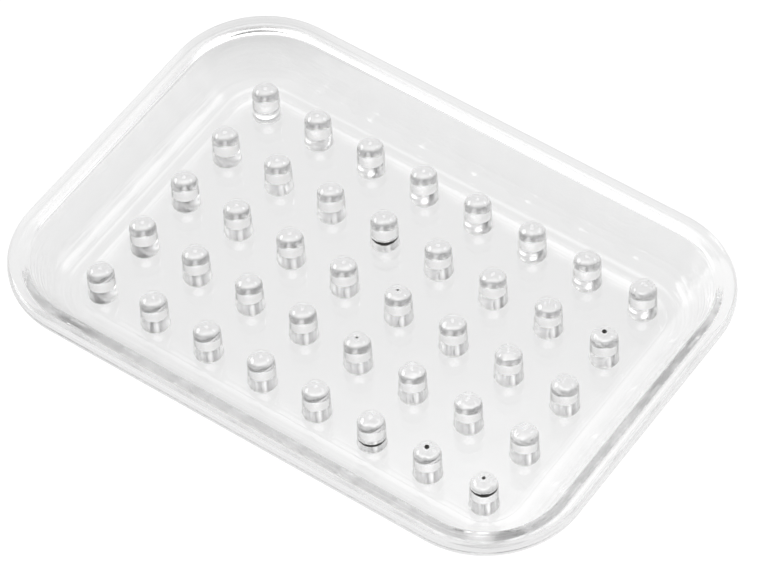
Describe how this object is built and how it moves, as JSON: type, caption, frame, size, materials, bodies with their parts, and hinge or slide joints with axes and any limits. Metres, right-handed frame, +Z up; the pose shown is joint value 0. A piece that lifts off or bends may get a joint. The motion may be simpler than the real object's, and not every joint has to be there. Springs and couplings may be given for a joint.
{
  "type": "soap dish",
  "caption": "Clear shallow rounded-rectangle soap dish with a flared wall and rounded lip, and rows of round-topped pegs that hold the soap clear of its floor.",
  "frame": {"origin": "middle of the flat underside", "axes": "+X along the long side, +Y across it, +Z up, the way the pegs point"},
  "size_m": [0.138, 0.097, 0.0145],
  "materials": {
    "clear_tray": "polished clear polystyrene",
    "clear_peg": "polished clear polystyrene"
  },
  "bodies": {
    "root": {"tray": "clear_tray", "peg_row1_no1": "clear_peg", "peg_row1_no2": "clear_peg", "peg_row1_no3": "clear_peg", "peg_row1_no4": "clear_peg", "peg_row1_no5": "clear_peg", "peg_row1_no6": "clear_peg", "peg_row1_no7": "clear_peg", "peg_row1_no8": "clear_peg", "peg_row2_no1": "clear_peg", "peg_row2_no2": "clear_peg", "peg_row2_no3": "clear_peg", "peg_row2_no4": "clear_peg", "peg_row2_no5": "clear_peg", "peg_row2_no6": "clear_peg", "peg_row2_no7": "clear_peg", "peg_row2_no8": "clear_peg", "peg_row3_no1": "clear_peg", "peg_row3_no2": "clear_peg", "peg_row3_no3": "clear_peg", "peg_row3_no4": "clear_peg", "peg_row3_no5": "clear_peg", "peg_row3_no6": "clear_peg", "peg_row3_no7": "clear_peg", "peg_row3_no8": "clear_peg", "peg_row4_no1": "clear_peg", "peg_row4_no2": "clear_peg", "peg_row4_no3": "clear_peg", "peg_row4_no4": "clear_peg", "peg_row4_no5": "clear_peg", "peg_row4_no6": "clear_peg", "peg_row4_no7": "clear_peg", "peg_row4_no8": "clear_peg", "peg_row5_no1": "clear_peg", "peg_row5_no2": "clear_peg", "peg_row5_no3": "clear_peg", "peg_row5_no4": "clear_peg", "peg_row5_no5": "clear_peg", "peg_row5_no6": "clear_peg", "peg_row5_no7": "clear_peg", "peg_row5_no8": "clear_peg"}
  },
  "joints": []
}
